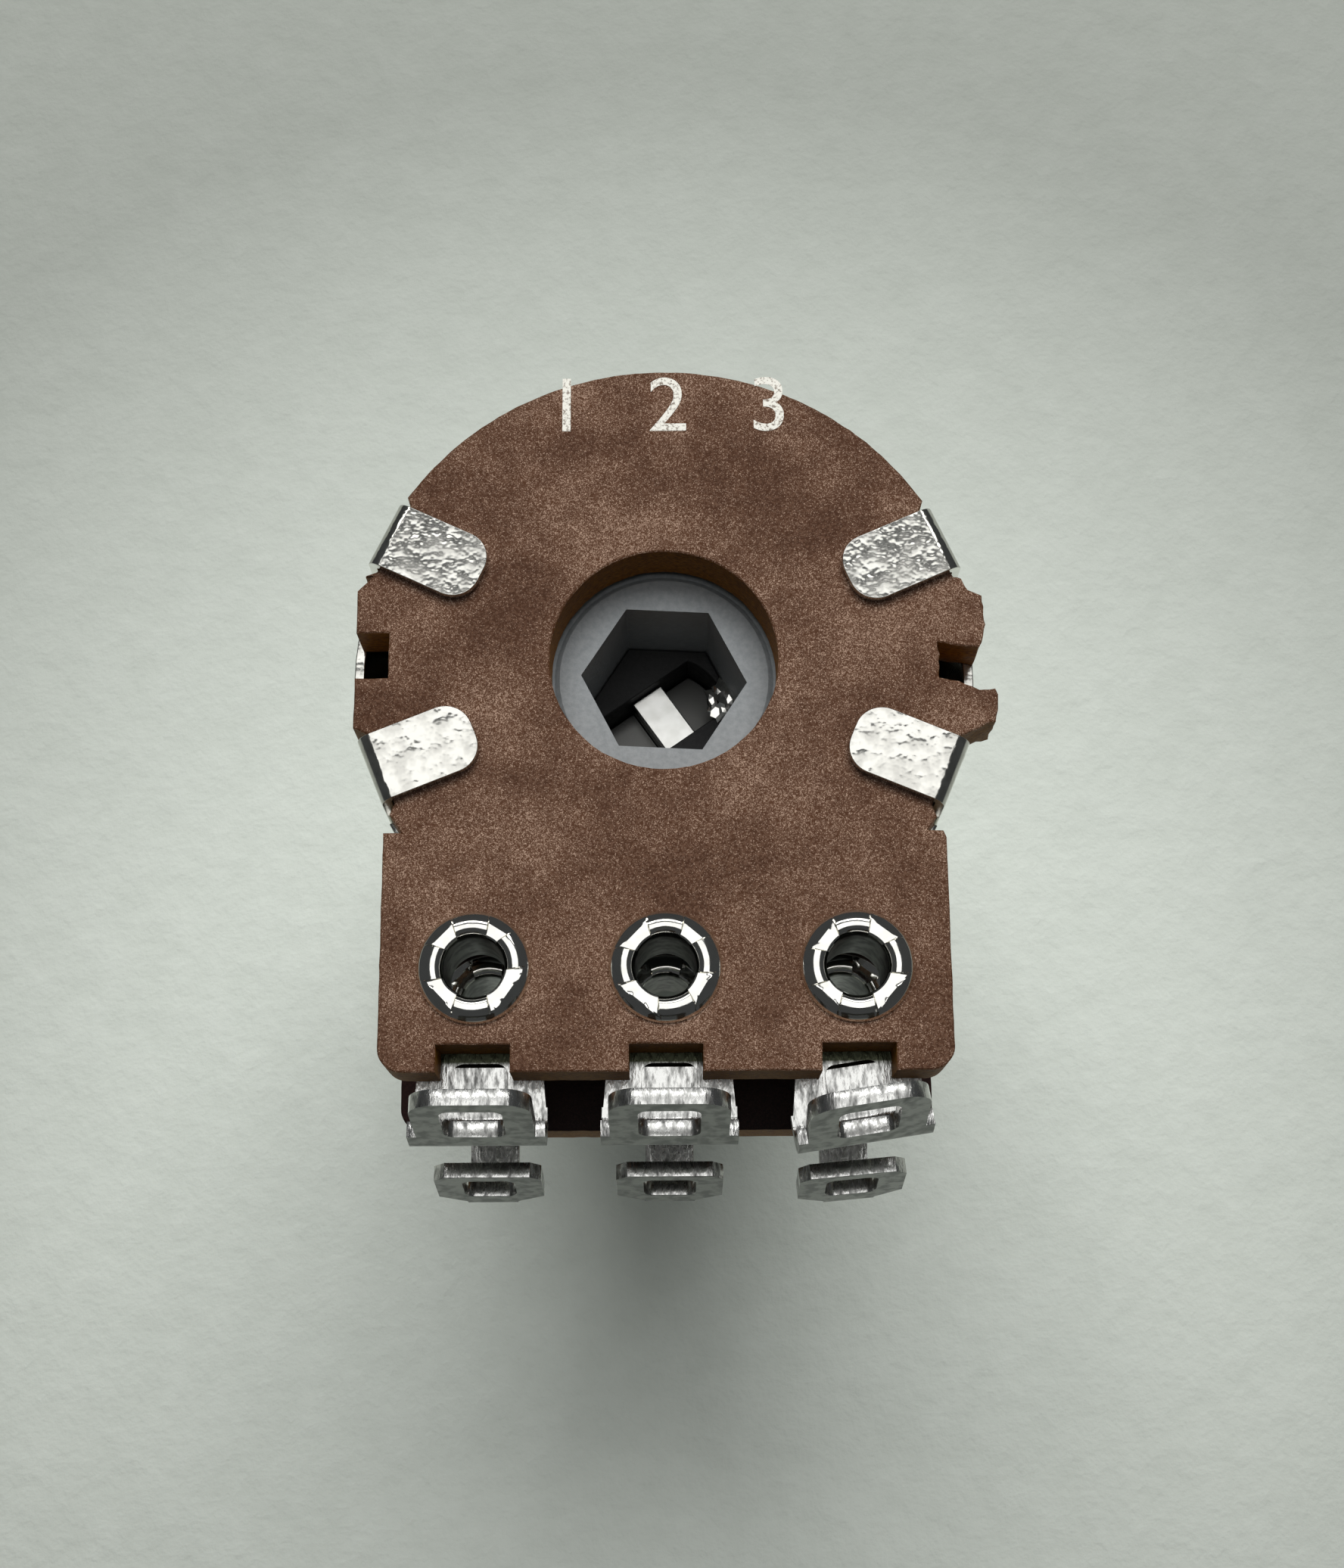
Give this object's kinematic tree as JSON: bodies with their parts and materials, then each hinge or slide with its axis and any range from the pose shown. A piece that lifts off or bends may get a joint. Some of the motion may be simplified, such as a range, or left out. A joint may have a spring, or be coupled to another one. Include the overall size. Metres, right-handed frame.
{
  "type": "rotary potentiometer",
  "caption": "Two-gang rotary potentiometer with an open back, red-brown wafers, rearward solder lugs, threaded bushing and round shaft.",
  "frame": {"origin": "on the shaft axis in the bushing flange's mounting face, which lies against the panel", "axes": "+Z from the panel towards the open back of the body, so the shaft points to -Z; -Y towards the terminals; +X to the right when the back is seen with the terminals below"},
  "size_m": [0.0176, 0.0226, 0.0297],
  "materials": {
    "phenolic": "speckled paper laminate, cut edges orange brown",
    "carbon_film": "matt printed carbon film",
    "silver_film": "printed silver film",
    "tinned_lug": "dull tin plate with sheared edges",
    "nickel_eyelet": "bright nickel plate with flattened pads",
    "plated_steel": "scuffed bright nickel plate on steel sheet",
    "grey_plastic": "matt grey moulded plastic",
    "black_plastic": "matt black moulded plastic",
    "spring_bronze": "bright spring sheet",
    "cast_zinc": "satin plated die casting",
    "shaft_metal": "turned and plated, satin"
  },
  "bodies": {
    "body": {"rear_wafer": "phenolic", "rear_track": "carbon_film", "rear_collector": "silver_film", "rear_lug_left": "tinned_lug", "rear_eyelet_left": "nickel_eyelet", "rear_lug_middle": "tinned_lug", "rear_eyelet_middle": "nickel_eyelet", "rear_lug_right": "tinned_lug", "rear_eyelet_right": "nickel_eyelet", "front_wafer": "phenolic", "front_track": "carbon_film", "front_collector": "silver_film", "front_lug_left": "tinned_lug", "front_eyelet_left": "nickel_eyelet", "front_lug_middle": "tinned_lug", "front_eyelet_middle": "nickel_eyelet", "front_lug_right": "tinned_lug", "front_eyelet_right": "nickel_eyelet", "rear_cup": "plated_steel", "housing": "plated_steel", "bushing": "cast_zinc"},
    "rotor": {"shaft": "shaft_metal", "shaft_clip": "plated_steel", "front_rotor": "black_plastic", "front_wiper": "spring_bronze", "rear_rotor": "grey_plastic", "rear_wiper": "spring_bronze"}
  },
  "joints": [
    {"name": "shaft_turn", "type": "hinge", "parent": "body", "child": "rotor", "pos_m": [0, 0, 0], "axis": [0, 0, 1], "range_deg": [-150, 150]}
  ]
}
